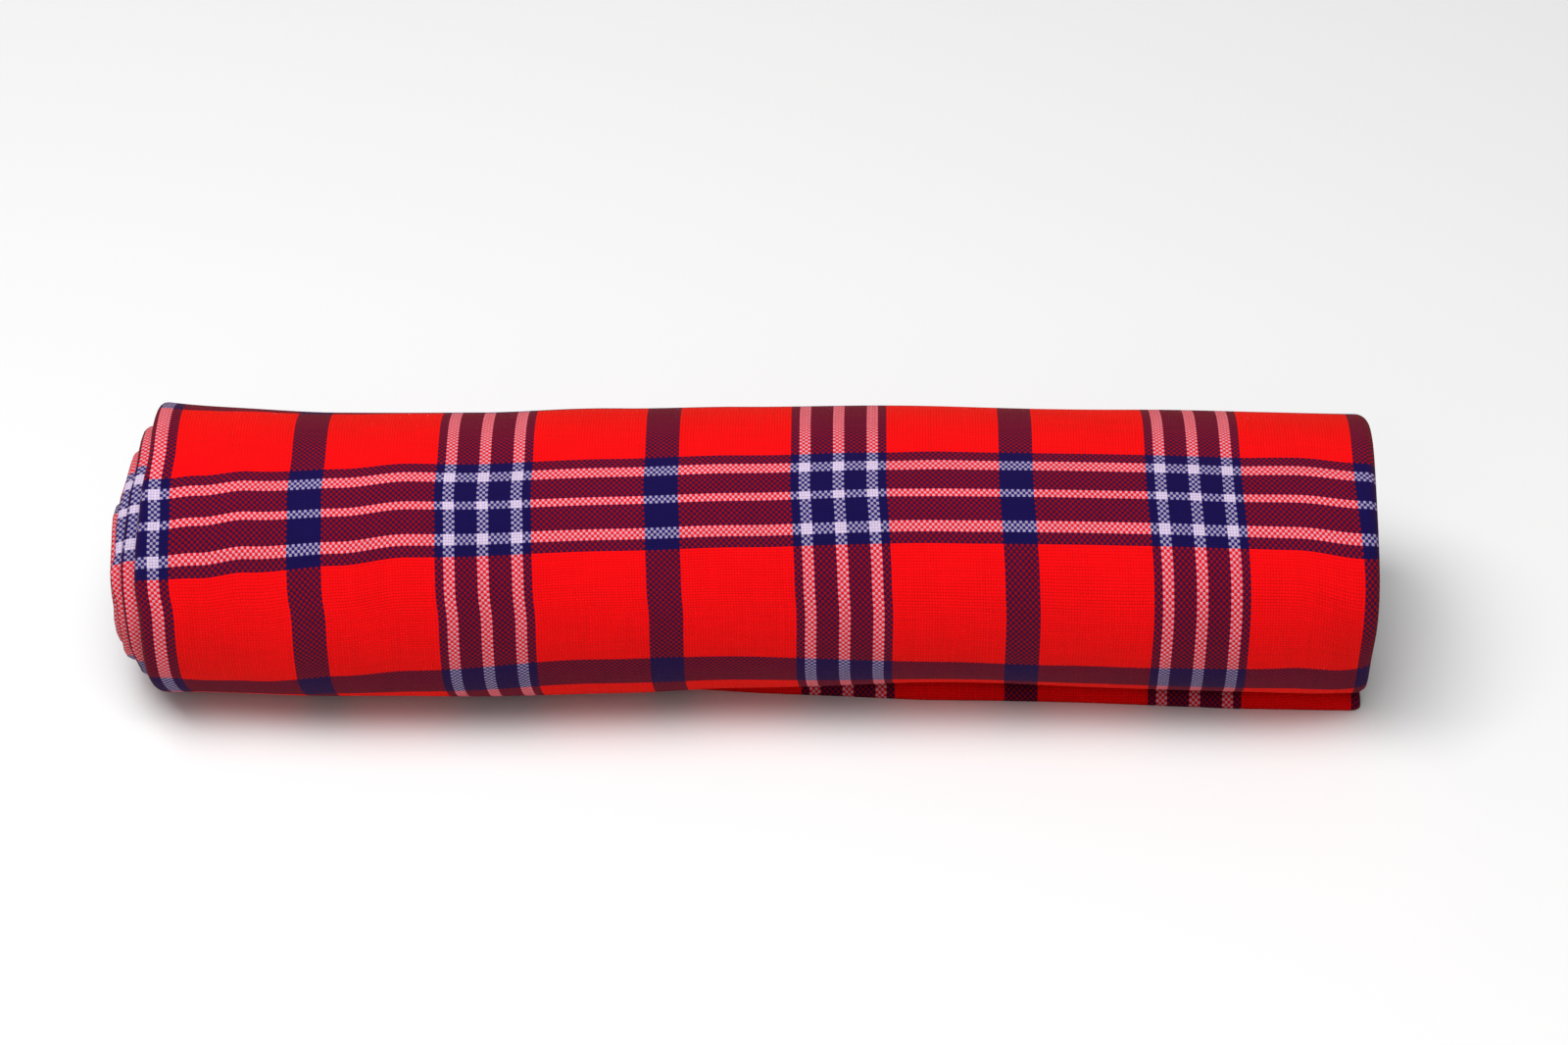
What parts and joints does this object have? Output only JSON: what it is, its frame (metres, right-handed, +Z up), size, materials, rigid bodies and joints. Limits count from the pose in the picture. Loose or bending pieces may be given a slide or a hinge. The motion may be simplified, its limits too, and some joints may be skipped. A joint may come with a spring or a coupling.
{
  "type": "rolled shuka blanket",
  "caption": "Plaid woven shuka blanket, folded lengthwise and wound into a round roll, with its free end tucked under and its turns stepping out at one end.",
  "frame": {"origin": "on the surface that the roll lies on, below the middle of its box", "axes": "+X along the roll, away from the end where the turns step out; +Y to the back, away from the side where the free end comes out; +Z up"},
  "size_m": [0.511, 0.1259, 0.1139],
  "materials": {
    "woven_cloth": "matt plain weave in red with navy bands and thin white stripes, both ways"
  },
  "bodies": {
    "root": {"blanket_roll": "woven_cloth"}
  },
  "joints": []
}
